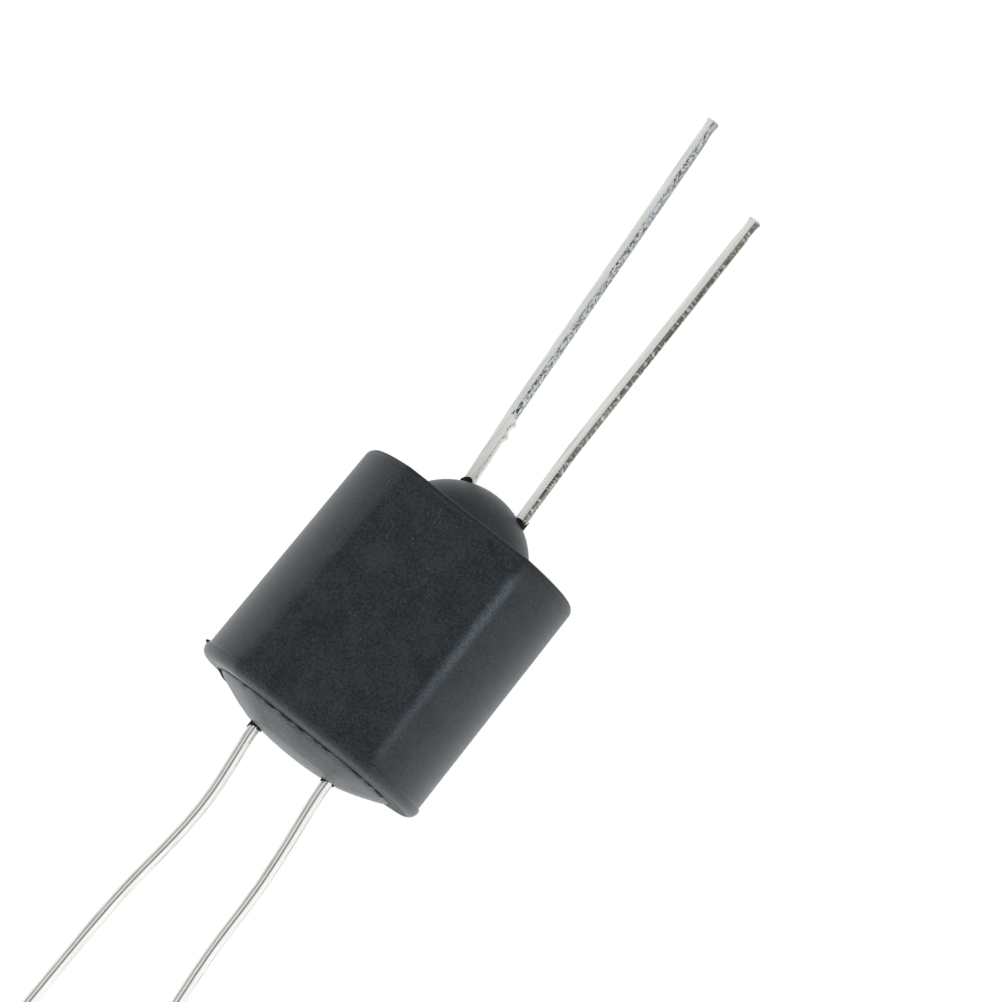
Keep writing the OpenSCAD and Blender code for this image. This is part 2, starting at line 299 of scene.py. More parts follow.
def finish_piece(piece: Piece, slot: Slot, *stands_for: str) -> None:
    """Takes a piece from millimetres to metres and hangs it on the part.

    Args:
        piece: The finished mesh object.
        slot: The record's slot for its main finish.
        *stands_for: CAD nodes that it takes the place of.
    """
    select_only(piece)
    piece.scale = (MM,) * 3
    bpy.ops.object.transform_apply(location=True, rotation=True, scale=True)
    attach(piece, "root")
    if stands_for:
        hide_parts(*stands_for)
    log.info("%s: %d faces, slot %s", piece.name, len(piece.data.polygons), slot.value)


class NodeSheet:
    """Lays nodes on a node tree and links them."""

    MIX_SHARE, MIX_FIRST, MIX_SECOND, MIX_RESULT = 0, 6, 7, 2

    def __init__(self, tree: bpy.types.NodeTree) -> None:
        """Keeps the tree to work on."""
        self.tree = tree

    def node(self, kind: str, **settings: object) -> bpy.types.Node:
        """Adds a node.

        Args:
            kind: The node's type.
            **settings: Its properties.

        Returns:
            The node.
        """
        made = self.tree.nodes.new(kind)
        for key, value in settings.items():
            setattr(made, key, value)
        return made

    def feed(self, socket: Socket, value: object) -> None:
        """Links an output to a socket, or sets the socket.

        Args:
            socket: The socket.
            value: An output, a number or a colour.
        """
        if isinstance(value, Socket):
            self.tree.links.new(value, socket)
        else:
            socket.default_value = value

    def math(self, operation: str, a: object, b: object = 0.0, c: object = 0.0) -> Socket:
        """One step of arithmetic.

        Args:
            operation: The Math node's operation.
            a: First value or output.
            b: Second value or output.
            c: What MULTIPLY_ADD adds.

        Returns:
            The result.
        """
        made = self.node("ShaderNodeMath", operation=operation)
        for socket, value in zip(made.inputs, (a, b, c)):
            self.feed(socket, value)
        return made.outputs[0]

    def split(self, vector: Socket) -> tuple[Socket, ...]:
        """Takes a vector apart.

        Args:
            vector: The vector.

        Returns:
            Its X, Y and Z outputs.
        """
        made = self.node("ShaderNodeSeparateXYZ")
        self.feed(made.inputs[0], vector)
        return tuple(made.outputs)

    def noise(
        self, vector: Socket, scale: object, detail: float = 2.0, distortion: float = 0.0
    ) -> Socket:
        """A noise pattern.

        Args:
            vector: Where it is read.
            scale: Waves in a metre.
            detail: Octaves.
            distortion: How far it is warped.

        Returns:
            Its value from 0 to 1.
        """
        made = self.node("ShaderNodeTexNoise")
        self.feed(made.inputs["Vector"], vector)
        self.feed(made.inputs["Scale"], scale)
        made.inputs["Detail"].default_value = detail
        made.inputs["Distortion"].default_value = distortion
        return made.outputs["Fac"]

    def ramp(
        self, value: Socket, low: object, high: object, start: float = 0.0, end: float = 1.0
    ) -> Socket:
        """A soft step.

        Args:
            value: What is read.
            low: Where the step starts.
            high: Where it ends.
            start: The result below the step.
            end: The result above it.

        Returns:
            The stepped value.
        """
        made = self.node("ShaderNodeMapRange", interpolation_type="SMOOTHSTEP")
        for name, item in (("Value", value), ("From Min", low), ("From Max", high)):
            self.feed(made.inputs[name], item)
        made.inputs["To Min"].default_value = start
        made.inputs["To Max"].default_value = end
        return made.outputs["Result"]

    def blend(self, share: object, a: object, b: object) -> Socket:
        """A mix of two colours.

        Args:
            share: How much of the second.
            a: First colour or output.
            b: Second colour or output.

        Returns:
            The mixed colour.
        """
        made = self.node("ShaderNodeMix", data_type="RGBA")
        self.feed(made.inputs[self.MIX_SHARE], share)
        self.feed(made.inputs[self.MIX_FIRST], (*a, 1.0) if isinstance(a, tuple) else a)
        self.feed(made.inputs[self.MIX_SECOND], (*b, 1.0) if isinstance(b, tuple) else b)
        return made.outputs[self.MIX_RESULT]

    def stretched(self, vector: Socket, scale: Point) -> Socket:
        """Coordinates drawn out by a Mapping node.

        Args:
            vector: The coordinates.
            scale: How much each axis is packed together.

        Returns:
            The stretched coordinates.
        """
        made = self.node("ShaderNodeMapping", vector_type="POINT")
        self.feed(made.inputs["Vector"], vector)
        made.inputs["Scale"].default_value = scale
        return made.outputs["Vector"]

    def group(self, tree: bpy.types.NodeTree, vector: Socket, *values: float) -> bpy.types.NodeOutputs:
        """Adds an effect group.

        Args:
            tree: The group.
            vector: Where it is read.
            *values: Its number inputs, in their order.

        Returns:
            The group's outputs.
        """
        made = self.node("ShaderNodeGroup", node_tree=tree)
        for socket, value in zip(made.inputs, (vector, *values)):
            self.feed(socket, value)
        return made.outputs

    def show(self, lit: bpy.types.Node, seen: bpy.types.Node, result: str) -> None:
        """Lights the part with one shader and shows another to the camera.

        Args:
            lit: The shader that lights the part.
            seen: The shader that the camera sees.
            result: The type of the tree's output node.
        """
        mixed = self.node("ShaderNodeMixShader")
        camera_ray = self.node("ShaderNodeLightPath").outputs["Is Camera Ray"]
        for socket, value in zip(mixed.inputs, (camera_ray, lit.outputs[0], seen.outputs[0])):
            self.feed(socket, value)
        self.feed(self.node(result).inputs["Surface"], mixed.outputs[0])


def effect_group(
    name: str, inputs: tuple[str, ...], outputs: tuple[str, ...]
) -> tuple[bpy.types.NodeTree, NodeSheet, bpy.types.Node, bpy.types.Node]:
    """An empty shader node group with a vector and number inputs and number outputs.

    Args:
        name: The group's name.
        inputs: Names of its number inputs.
        outputs: Names of its number outputs.

    Returns:
        The group, a sheet on it, and its input and output nodes.
    """
    tree = bpy.data.node_groups.new(name, "ShaderNodeTree")
    tree.interface.new_socket("Vector", in_out="INPUT", socket_type="NodeSocketVector")
    for item in inputs:
        tree.interface.new_socket(item, in_out="INPUT", socket_type="NodeSocketFloat")
    for item in outputs:
        tree.interface.new_socket(item, in_out="OUTPUT", socket_type="NodeSocketFloat")
    sheet = NodeSheet(tree)
    return tree, sheet, sheet.node("NodeGroupInput"), sheet.node("NodeGroupOutput")


class Effects:
    """Node groups that several finishes share."""

    def __init__(self) -> None:
        """Builds each group once."""
        self.grain = self.mould_grain()
        self.streaks = self.drawn_streaks()

    def mould_grain(self) -> bpy.types.NodeTree:
        """Grain, cloudy tone, dust specks and scuffs of a moulded surface.

        Returns:
            The group, with outputs Tone, Dust and Height.
        """
        tree, sheet, given, result = effect_group(
            "mould_grain",
            ("Grain", "Mottle", "Speck", "Speck Share", "Scuff Share"),
            ("Tone", "Dust", "Height"),
        )
        vector = given.outputs["Vector"]
        fine = sheet.noise(vector, given.outputs["Grain"], 3.0)
        mottle = sheet.noise(vector, given.outputs["Mottle"], 4.0, 0.4)
        tone = sheet.math("ADD", sheet.math("MULTIPLY", fine, 0.68), sheet.math("MULTIPLY", mottle, 0.32))
        cells = sheet.node("ShaderNodeTexVoronoi", feature="F1")
        sheet.feed(cells.inputs["Vector"], vector)
        sheet.feed(cells.inputs["Scale"], given.outputs["Speck"])
        tint = sheet.node("ShaderNodeSeparateColor")
        sheet.feed(tint.inputs["Color"], cells.outputs["Color"])
        kept = sheet.math("LESS_THAN", tint.outputs["Red"], given.outputs["Speck Share"])
        reach = sheet.math("MULTIPLY_ADD", tint.outputs["Green"], 0.11, 0.05)
        ragged = sheet.math("MULTIPLY_ADD", fine, 0.14, cells.outputs["Distance"])
        edge = sheet.math("SUBTRACT", sheet.math("ADD", reach, 0.07), ragged)
        speck = sheet.math("MULTIPLY", kept, sheet.ramp(edge, 0.0, 0.05))
        drawn = sheet.stretched(vector, (0.35, 1.0, 1.0))
        rubbed = sheet.noise(drawn, sheet.math("MULTIPLY", given.outputs["Mottle"], 2.6), 5.0, 0.8)
        level = sheet.math("SUBTRACT", 1.0, given.outputs["Scuff Share"])
        scuff = sheet.ramp(rubbed, level, sheet.math("ADD", level, 0.12))
        scuff = sheet.math("MULTIPLY", scuff, sheet.ramp(fine, 0.42, 0.62))
        sheet.feed(result.inputs["Tone"], tone)
        sheet.feed(result.inputs["Dust"], sheet.math("MAXIMUM", speck, sheet.math("MULTIPLY", scuff, 0.45)))
        sheet.feed(result.inputs["Height"], sheet.math("ADD", fine, sheet.math("MULTIPLY", mottle, 0.5)))
        return tree

    def drawn_streaks(self) -> bpy.types.NodeTree:
        """Lines along a drawn or rolled metal, with small pits.

        Returns:
            The group, with outputs Streak, Pit and Height.
        """
        tree, sheet, given, result = effect_group(
            "drawn_streaks", ("Lines", "Pits"), ("Streak", "Pit", "Height")
        )
        along = sheet.stretched(given.outputs["Vector"], (0.04, 1.0, 1.0))
        lines = sheet.noise(along, given.outputs["Lines"], 3.0)
        pits = sheet.noise(given.outputs["Vector"], given.outputs["Pits"], 2.0)
        pit = sheet.ramp(pits, 0.62, 0.72)
        sheet.feed(result.inputs["Streak"], lines)
        sheet.feed(result.inputs["Pit"], pit)
        sheet.feed(result.inputs["Height"], sheet.math("SUBTRACT", lines, sheet.math("MULTIPLY", pit, 0.6)))
        return tree


class Coat(NodeSheet):
    """The sheet of one material, with its shader, its coordinates and the shared groups."""

    def __init__(self, material: bpy.types.Material, effects: Effects) -> None:
        """Takes up a new material.

        Args:
            material: The material.
            effects: The shared node groups.
        """
        material.use_nodes = True
        super().__init__(material.node_tree)
        self.shader = material.node_tree.nodes["Principled BSDF"]
        self.place = self.node("ShaderNodeTexCoord").outputs["Object"]
        self.effects = effects

    def put(self, name: str, value: object) -> None:
        """Links an output to an input of the shader, or sets the input."""
        self.feed(self.shader.inputs[name], value)

    def bump(self, height: Socket, depth: float) -> None:
        """Roughs the surface.

        Args:
            height: The pattern.
            depth: How deep it is, in metres.
        """
        made = self.node("ShaderNodeBump")
        made.inputs["Distance"].default_value = depth
        self.feed(made.inputs["Height"], height)
        self.put("Normal", made.outputs["Normal"])


@dataclass(frozen=True)
class Finish:
    """A named look."""

    name: str

    def material(self, effects: Effects) -> bpy.types.Material:
        """Builds the material, read in Object coordinates.

        Args:
            effects: The shared node groups.

        Returns:
            The material.
        """
        made = bpy.data.materials.new(self.name)
        self.paint(Coat(made, effects))
        return made

    def paint(self, coat: Coat) -> None:
        """Lays the nodes of the look on the material's sheet."""
        raise NotImplementedError


@dataclass(frozen=True)
class RubberFinish(Finish):
    """Moulded black rubber with grain, dust and worn edges, and painted light and shade: highlights on the creases
    and lip, a lit side and shade in the seam.
    """

    dark: Colour
    light: Colour
    # Colour of dust specks and scuffs; on the plug also of its painted side light.
    dust_and_side_light: Colour
    dust_share: float
    scuff_share: float
    roughness: Span
    specular: float
    grain_depth: float
    grain: float = 13000.0
    mottle: float = 900.0
    specks: float = 5200.0
    # Pale colour of rubbed creases, and of the painted highlights on creases and lip edges.
    wear_and_highlight: Colour = (0.085, 0.105, 0.125)
    # Near-black painted shade for the seam's crevice.
    seam_shade: Colour = (0.004, 0.004, 0.004)
    crease: Span | None = None
    crease_end: float = 0.0045
    crease_fade: float = 0.0008
    crease_band: Span = (0.00002, 0.0003)
    crease_wander: float = 0.0003
    # Strength of crease wear and painted highlight on the -Y side and on the +Y side.
    wear_and_highlight_share: Span = (1.0, 0.08)
    # Where the painted highlight lines along the lip's top and foot lie.
    lip_highlight_edges: Span = (-0.0045, -0.00491)
    quiet_ends: Span | None = None
    quiet_rough: float = 0.17
    quiet_shine: float = 0.35
    seam_shade_from: float | None = None
    seam_shade_ragged: float = 0.00009
    # Painted light on the plug's +Y side, and where it rises across the plug.
    painted_side_light: float = 0.0
    painted_side_light_edges: Span = (-0.0038, 0.0004)

    def wear_and_highlight_mask(self, coat: Coat) -> Socket:
        """Where the creases are rubbed pale and carry a painted highlight, and where painted highlight lines run
        along the lip.

        Args:
            coat: The material's sheet.

        Returns:
            How worn and how highlighted each point is, from 0 to 1.
        """
        offset, slope = self.crease
        x, y, _ = coat.split(coat.place)
        line = coat.math("MULTIPLY_ADD", x, slope, offset)
        side = coat.math("ABSOLUTE", y)
        sway = coat.noise(coat.place, 700.0, 2.0)
        wander = coat.math("MULTIPLY_ADD", sway, self.crease_wander, -self.crease_wander / 2)
        gap = coat.math("ABSOLUTE", coat.math("ADD", coat.math("SUBTRACT", side, line), wander))
        band = coat.ramp(gap, *self.crease_band, 1.0, 0.0)
        reach = coat.math("ABSOLUTE", x)
        ends = coat.ramp(reach, self.crease_end - self.crease_fade, self.crease_end, 1.0, 0.0)
        # Painted highlight: much stronger on the -Y side and towards the lamp end, where the light falls.
        strong = coat.ramp(y, -0.001, 0.001, *self.wear_and_highlight_share)
        strong = coat.math("MULTIPLY", strong, coat.ramp(x, -0.004, 0.003, 0.4, 0.95))
        patchy = coat.ramp(coat.noise(coat.place, 12000.0, 4.0), 0.3, 0.66, 0.3, 1.0)
        mask = coat.math("MULTIPLY", coat.math("MULTIPLY", band, ends), coat.math("MULTIPLY", strong, patchy))
        # Painted highlight lines along the lip's top step and rounded foot, on the flats only.
        upper, lower = self.lip_highlight_edges
        top = coat.math("ABSOLUTE", coat.math("SUBTRACT", x, upper))
        foot = coat.math("ABSOLUTE", coat.math("SUBTRACT", x, lower))
        front = coat.math("MULTIPLY", coat.ramp(side, 0.0026, 0.0034, 0.34, 0.0), patchy)
        foot_highlight = coat.ramp(foot, 0.00004, 0.0001, 1.0, 0.0)
        lines = coat.math("MAXIMUM", coat.ramp(top, 0.00002, 0.00005, 0.5, 0.0), foot_highlight)
        return coat.math("MAXIMUM", mask, coat.math("MULTIPLY", lines, front))

    def seam_shade_mask(self, coat: Coat) -> Socket:
        """Where painted shade darkens the plug's edge in the seam's crevice.

        Args:
            coat: The material's sheet.

        Returns:
            How deep the painted shade is at each point, from 0 to 1.
        """
        x, _, _ = coat.split(coat.place)
        ragged = coat.math("MULTIPLY_ADD", coat.noise(coat.place, 2600.0, 3.0), self.seam_shade_ragged, x)
        return coat.ramp(ragged, self.seam_shade_from, self.seam_shade_from + 0.00002)

    def quiet_mask(self, coat: Coat) -> Socket:
        """Where the ends of the moulding are duller than its sides.

        Args:
            coat: The material's sheet.

        Returns:
            How dull each point is, from 0 to 1.
        """
        open_end, lamp_end = self.quiet_ends
        x, y, _ = coat.split(coat.place)
        beyond = coat.ramp(x, open_end - 0.00003, open_end + 0.00003, 1.0, 0.0)
        side = coat.ramp(y, 0.0016, 0.0034, 1.0, 0.1)
        rise = coat.ramp(x, lamp_end - 0.0001, lamp_end, 0.0, 0.7)
        fall = coat.ramp(x, lamp_end + 0.0001, lamp_end + 0.00016, 1.0, 0.0)
        above = coat.math("MULTIPLY", rise, fall)
        return coat.math("MAXIMUM", coat.math("MULTIPLY", beyond, side), above)

    def paint(self, coat: Coat) -> None:
        """Lays grain and dust, then painted side light, crease wear with painted highlights and painted seam shade
        where the finish has them.

        Args:
            coat: The material's sheet.
        """
        patterns = (self.grain, self.mottle, self.specks, self.dust_share, self.scuff_share)
        made = coat.group(coat.effects.grain, coat.place, *patterns)
        tone = made["Tone"]
        colour = coat.blend(coat.ramp(tone, 0.38, 0.62), self.dark, self.light)
        colour = coat.blend(made["Dust"], colour, self.dust_and_side_light)
        # Painted light: the plug's +Y side is laid paler in the dust colour, with grain.
        if self.painted_side_light:
            _, y, _ = coat.split(coat.place)
            side = coat.ramp(y, *self.painted_side_light_edges, 0.0, self.painted_side_light)
            grainy = coat.ramp(tone, 0.4, 0.6, 0.5, 1.45)
            colour = coat.blend(coat.math("MULTIPLY", side, grainy), colour, self.dust_and_side_light)
        # Crease wear with a painted highlight, and painted highlight lines on the lip.
        if self.crease:
            colour = coat.blend(self.wear_and_highlight_mask(coat), colour, self.wear_and_highlight)
        dull: object = 0.0
        if self.quiet_ends:
            dull = self.quiet_mask(coat)
        # Painted shade along the plug's edge in the seam, also duller there.
        if self.seam_shade_from:
            dull = self.seam_shade_mask(coat)
            colour = coat.blend(dull, colour, self.seam_shade)
        coat.put("Base Color", colour)
        rough = coat.ramp(tone, 0.3, 0.7, *self.roughness)
        rough = coat.math("ADD", rough, coat.math("MULTIPLY", dull, self.quiet_rough))
        coat.put("Roughness", rough)
        shine = coat.ramp(dull, 0.0, 1.0, self.specular, self.quiet_shine * self.specular)
        coat.put("Specular IOR Level", shine)
        coat.bump(made["Height"], self.grain_depth)


@dataclass(frozen=True)
class TinFinish(Finish):
    """Bright tinned metal with drawn lines and pits."""

    bright: Colour
    dull: Colour
    roughness: Span
    lines: float
    depth: float
    metallic: float = 1.0
    pits: float = 6500.0

    def paint(self, coat: Coat) -> None:
        """Lays drawn lines, duller where they are faint or pitted.

        Args:
            coat: The material's sheet.
        """
        streaks = coat.group(coat.effects.streaks, coat.place, self.lines, self.pits)
        tone = coat.ramp(streaks["Streak"], 0.35, 0.62)
        spoilt = coat.math("MULTIPLY", streaks["Pit"], 0.5)
        dulled = coat.math("MAXIMUM", coat.math("SUBTRACT", 1.0, tone), spoilt)
        coat.put("Base Color", coat.blend(dulled, self.bright, self.dull))
        coat.put("Roughness", coat.ramp(dulled, 0.0, 1.0, *self.roughness))
        coat.put("Metallic", self.metallic)
        coat.bump(streaks["Height"], self.depth)


@dataclass(frozen=True)
class ShearedFinish(Finish):
    """Side of a stamped lead: dark torn metal with bright chatter marks across it."""

    dark: Colour
    brown: Colour
    bright: Colour
    chatter: float
    marks: Span
    stretch: Point
    lines: float = 9000.0
    pits: float = 5200.0
    roughness: Span = (0.55, 0.3)
    depth: float = 0.00002

    def paint(self, coat: Coat) -> None:
        """Lays a brown ground with chatter marks over it.

        Args:
            coat: The material's sheet.
        """
        streaks = coat.group(coat.effects.streaks, coat.place, self.lines, self.pits)
        chatter = coat.noise(coat.stretched(coat.place, self.stretch), self.chatter, 4.0, 0.6)
        ground = coat.blend(coat.ramp(streaks["Streak"], 0.36, 0.64), self.dark, self.brown)
        marks = coat.ramp(chatter, *self.marks)
        coat.put("Base Color", coat.blend(marks, ground, self.bright))
        coat.put("Roughness", coat.ramp(chatter, 0.3, 0.7, *self.roughness))
        coat.put("Metallic", 1.0)
        coat.bump(chatter, self.depth)


@dataclass(frozen=True)
class InnerFinish(Finish):
    """Finish of a piece that is sealed inside the case."""

    base: Colour
    mark: Colour
    scale: float
    roughness: Span
    metallic: float = 0.0
    transmission: float = 0.0
    dust_share: float = 0.1
    scuff_share: float = 0.2
    depth: float = 0.000004

    def paint(self, coat: Coat) -> None:
        """Lays a fine grain of two colours.

        Args:
            coat: The material's sheet.
        """
        patterns = (self.scale * 4, self.scale, self.scale, self.dust_share, self.scuff_share)
        grain = coat.group(coat.effects.grain, coat.place, *patterns)
        tone = coat.ramp(grain["Tone"], 0.3, 0.7)
        coat.put("Base Color", coat.blend(tone, self.base, self.mark))
        coat.put("Roughness", coat.ramp(grain["Tone"], 0.3, 0.7, *self.roughness))
        coat.put("Metallic", self.metallic)
        coat.put("Transmission Weight", self.transmission)
        coat.bump(grain["Height"], self.depth)


CASE_FINISH = RubberFinish(
    name="case_rubber_finish",
    dark=(0.003, 0.0046, 0.0062),
    light=(0.022, 0.0265, 0.031),
    dust_and_side_light=(0.085, 0.1, 0.115),
    dust_share=0.42,
    scuff_share=0.36,
    roughness=(0.32, 0.44),
    specular=0.5,
    grain_depth=0.000012,
    # Where the crease wear and its painted highlight run.
    crease=(0.002961, -0.02075),
    quiet_ends=(-0.00499, 0.00492),
)
PLUG_FINISH = RubberFinish(
    name="plug_rubber_finish",
    dark=(0.008, 0.0095, 0.011),
    light=(0.034, 0.0365, 0.039),
    dust_and_side_light=(0.085, 0.092, 0.1),
    dust_share=0.3,
    scuff_share=0.34,
    roughness=(0.34, 0.46),
    specular=0.5,
    grain_depth=0.000026,
    # Painted shade along the plug's edge in the seam.
    seam_shade_from=-0.00503,
    # Painted light on the plug's +Y side.
    painted_side_light=0.68,
)
TORN_FINISH = RubberFinish(
    name="torn_rubber_finish",
    dark=(0.006, 0.0055, 0.005),
    light=(0.013, 0.012, 0.011),
    dust_and_side_light=(0.06, 0.05, 0.04),
    dust_share=0.08,
    scuff_share=0.25,
    roughness=(0.6, 0.8),
    specular=0.25,
    grain_depth=0.00002,
)
LEAD_FINISH = TinFinish(
    name="lead_face_finish",
    bright=(0.98, 0.95, 0.89),
    dull=(0.86, 0.82, 0.75),
    roughness=(0.45, 0.6),
    lines=11000.0,
    depth=0.000004,
    metallic=0.8,
)
WIRE_FINISH = TinFinish(
    name="drawn_wire_finish",
    bright=(1.0, 0.97, 0.93),
    dull=(0.92, 0.88, 0.83),
    roughness=(0.13, 0.24),
    lines=14000.0,
    depth=0.000003,
)
# Painted shade: a darker, duller copy of the wire's tin, for its +Y side and a thin rim on its -Y side.
WIRE_SHADE_FINISH = TinFinish(
    name="wire_painted_shade_finish",
    bright=(0.66, 0.61, 0.55),
    dull=(0.5, 0.455, 0.4),
    roughness=(0.15, 0.3),
    lines=14000.0,
    depth=0.000003,
)
ANODE_SIDE_FINISH = ShearedFinish(
    name="anode_side_finish",
    dark=(0.1, 0.09, 0.085),
    brown=(0.38, 0.34, 0.31),
    bright=(0.86, 0.89, 0.92),
    chatter=15000.0,
    marks=(0.4, 0.58),
    stretch=(0.5, 1.0, 1.0),
)
CATHODE_SIDE_FINISH = ShearedFinish(
    name="cathode_side_finish",
    dark=(0.12, 0.1, 0.085),
    brown=(0.34, 0.295, 0.24),
    bright=(0.78, 0.75, 0.7),
    chatter=11000.0,
    marks=(0.5, 0.66),
    stretch=(1.0, 0.25, 0.25),
)
INNER_FINISHES: dict[str, InnerFinish] = {
    "led_lens": InnerFinish("lens_resin_finish", (0.9, 0.92, 0.93), (0.82, 0.86, 0.88), 700.0, (0.03, 0.1), 0.0, 0.9),
    "led_chip": InnerFinish("chip_finish", (0.5, 0.38, 0.13), (0.6, 0.46, 0.18), 9000.0, (0.25, 0.45)),
    "led_bond_wire": InnerFinish("bond_wire_finish", (0.85, 0.62, 0.2), (0.8, 0.56, 0.16), 8000.0, (0.2, 0.3), 1.0),
    "cell_disc": InnerFinish("cell_ceramic_finish", (0.82, 0.8, 0.73), (0.74, 0.71, 0.63), 1800.0, (0.5, 0.7)),
    "cell_film": InnerFinish("cell_film_finish", (0.6, 0.2, 0.05), (0.48, 0.14, 0.03), 3500.0, (0.5, 0.75)),
    "cell_electrode_a": InnerFinish("comb_a_finish", (0.76, 0.74, 0.69), (0.66, 0.64, 0.6), 4000.0, (0.25, 0.4), 1.0),
    "cell_electrode_b": InnerFinish("comb_b_finish", (0.76, 0.74, 0.69), (0.66, 0.64, 0.6), 4200.0, (0.25, 0.4), 1.0),
    "cell_joint_a": InnerFinish("paste_a_finish", (0.6, 0.6, 0.62), (0.5, 0.5, 0.52), 3000.0, (0.45, 0.7), 0.8),
    "cell_joint_b": InnerFinish("paste_b_finish", (0.6, 0.6, 0.62), (0.5, 0.5, 0.52), 3100.0, (0.45, 0.7), 0.8),
    "cell_coating": InnerFinish(
        "cell_coat_finish", (0.87, 0.78, 0.62), (0.8, 0.7, 0.54), 900.0, (0.05, 0.15), 0.0, 0.85
    ),
}


class Dressed:
    """A piece that is modelled in millimetres, then shaded, finished and hung on the part."""

    node: str | None
    slot: Slot
    smooth: float
    finishes: tuple[Finish, ...]

    def build(self) -> Piece:
        """Models the piece, in millimetres."""
        raise NotImplementedError

    def has_second(self, face: Face) -> bool:
        """True for a face that takes the second finish of a piece with two."""
        raise NotImplementedError

    def shade(self, piece: Piece) -> None:
        """Smooths the shading over edges that are blunter than the piece's angle."""
        select_only(piece)
        bpy.ops.object.shade_smooth_by_angle(angle=math.radians(self.smooth))

    def dress(self, piece: Piece, effects: Effects) -> None:
        """Shades the piece, gives it its finishes and hangs it on the part.

        Args:
            piece: The piece, in millimetres.
            effects: The shared node groups.
        """
        self.shade(piece)
        for finish in self.finishes:
            piece.data.materials.append(finish.material(effects))
        if len(self.finishes) > 1:
            with editing(piece):
                pick(Pick.FACE, self.has_second)
                piece.active_material_index = 1
                bpy.ops.object.material_slot_assign()
        finish_piece(piece, self.slot, *([self.node] if self.node else []))


@dataclass
class CaseShell(Dressed):
    """The moulded case: a drafted round with two flats, a lip at its open end and a dome at the lamp end."""

    node: str = "case_body"
    slot: Slot = Slot.CASE
    smooth: float = 35.0
    finishes: tuple[Finish, ...] = (CASE_FINISH,)
    length: float = 10.05
    rim_radius: float = 5.0
    lamp_radius: float = 4.875
    flat: float = 3.95
    end_round: float = 0.36
    end_steps: int = 7
    lip_height: float = 0.55
    lip_proud: float = 0.08
    lip_round: float = 0.41
    lip_foot: float = 0.02
    lip_steps: int = 2
    crease_round: float = 0.13
    crease_steps: int = 4
    dome_radius: float = 3.0908
    dome_top: float = 6.525
    dome_foot: float = 0.16
    dome_reach: float = 2.8
    dome_steps: int = 4
    dome_facets: tuple[int, int] = (96, 44)
    pocket_radius: float = 4.08
    pocket_flat: float = 3.03
    pocket_corner: float = 0.6
    pocket_floor: float = -1.975
    cell_radius: float = 2.65
    cell_face: float = -0.375
    lamp_bore: float = 1.95
    lamp_base: float = 5.225
    lead_hole: float = 0.44
    lead_pitch: float = 2.54
    lamp_turn: float = 8.0
    sides: int = 160
    sliver: float = 0.23

    @property
    def open_end(self) -> float:
        """Where the open end stands along the axis."""
        return -self.length / 2

    @property
    def lamp_end(self) -> float:
        """Where the lamp end stands along the axis, without its dome."""
        return self.length / 2

    @property
    def lip_top(self) -> float:
        """Where the lip ends along the axis."""
        return self.open_end + self.lip_height

    def build(self) -> Piece:
        """Models the case.

        Returns:
            The case, in millimetres.
        """
        bpy.ops.mesh.primitive_cone_add(
            vertices=self.sides,
            radius1=self.rim_radius,
            radius2=self.lamp_radius,
            depth=self.length,
            end_fill_type="NGON",
            location=(0, 0, AXIS_HEIGHT),
            rotation=ALONG_AXIS,
        )
        piece = named("case_shell")
        with editing(piece):
            cut_flats(self.flat)
            self.drop_slivers()
            self.raise_lip()
            for place, width in ((self.lamp_end, self.end_round), (self.open_end, self.lip_round)):
                self.round_ring(place, width, self.end_steps)
            self.round_creases()
            for place in (self.lip_top, self.lip_top - self.lip_proud):
                self.round_ring(place, self.lip_foot, self.lip_steps)
        self.add_dome(piece)
        self.cut_inside(piece)
        weld(piece)
        return piece

    def drop_slivers(self) -> None:
        """Merges the narrow strips beside each crease, so that no round stops at them."""

        def off_crease(place: Vector) -> float:
            """Distance of a point from the crease at its station."""
            share = place.x / self.length + 0.5
            radius = self.rim_radius + (self.lamp_radius - self.rim_radius) * share
            across = abs(place.y) - math.sqrt(radius**2 - self.flat**2)
            return math.hypot(across, abs(place.z - AXIS_HEIGHT) - self.flat)

        def beside(edge: Edge) -> bool:
            """True for an edge that runs along the round side close to a crease."""
            ends = [v.co for v in edge.verts]
            along = abs(ends[0].x - ends[1].x) > RUNS_ALONG
            on_flat = all(abs(co.z - AXIS_HEIGHT) > self.flat - 1e-4 for co in ends)
            return along and not on_flat and min(map(off_crease, ends)) < self.sliver

        pick(Pick.EDGE, beside)
        bpy.ops.mesh.dissolve_edges(use_verts=True)

    def raise_lip(self) -> None:
        """Makes the band at the open end stand proud."""
        slice_across((self.lip_top, 0, 0), (1, 0, 0))
        pick(Pick.FACE, lambda f: middle(f).x < self.lip_top and abs(f.normal.x) < 0.5)
        bpy.ops.mesh.extrude_region_shrink_fatten(
            TRANSFORM_OT_shrink_fatten={"value": self.lip_proud, "use_even_offset": True}
        )
        pick(Pick.FACE, lambda f: f.normal.x < -0.99)
        bpy.ops.mesh.dissolve_faces()

        def proud(place: Vector) -> bool:
            """True for a point at the top of the lip that stands off the case."""
            high = abs(place.z - AXIS_HEIGHT)
            off = max(high - self.flat, math.hypot(place.y, high) - self.rim_radius)
            return abs(place.x - self.lip_top) < ON_CORNER and off > 0.5 * self.lip_proud

        pick(Pick.VERT, lambda v: proud(v.co))
        bpy.ops.transform.translate(value=(-self.lip_proud, 0, 0))

    @staticmethod
    def round_ring(place: float, width: float, steps: int) -> None:
        """Rounds the edges of the open mesh that lie across the axis at a place.

        Args:
            place: Where they lie along the axis.
            width: How far along each side the rounding starts.
            steps: Facets across the rounding.
        """

        def on_ring(edge: Edge) -> bool:
            """True for a sharp edge at the place."""
            ends = [v.co for v in edge.verts]
            across = all(abs(co.x - place) < ON_PLANE for co in ends)
            return across and edge.calc_face_angle(0) > math.radians(30)

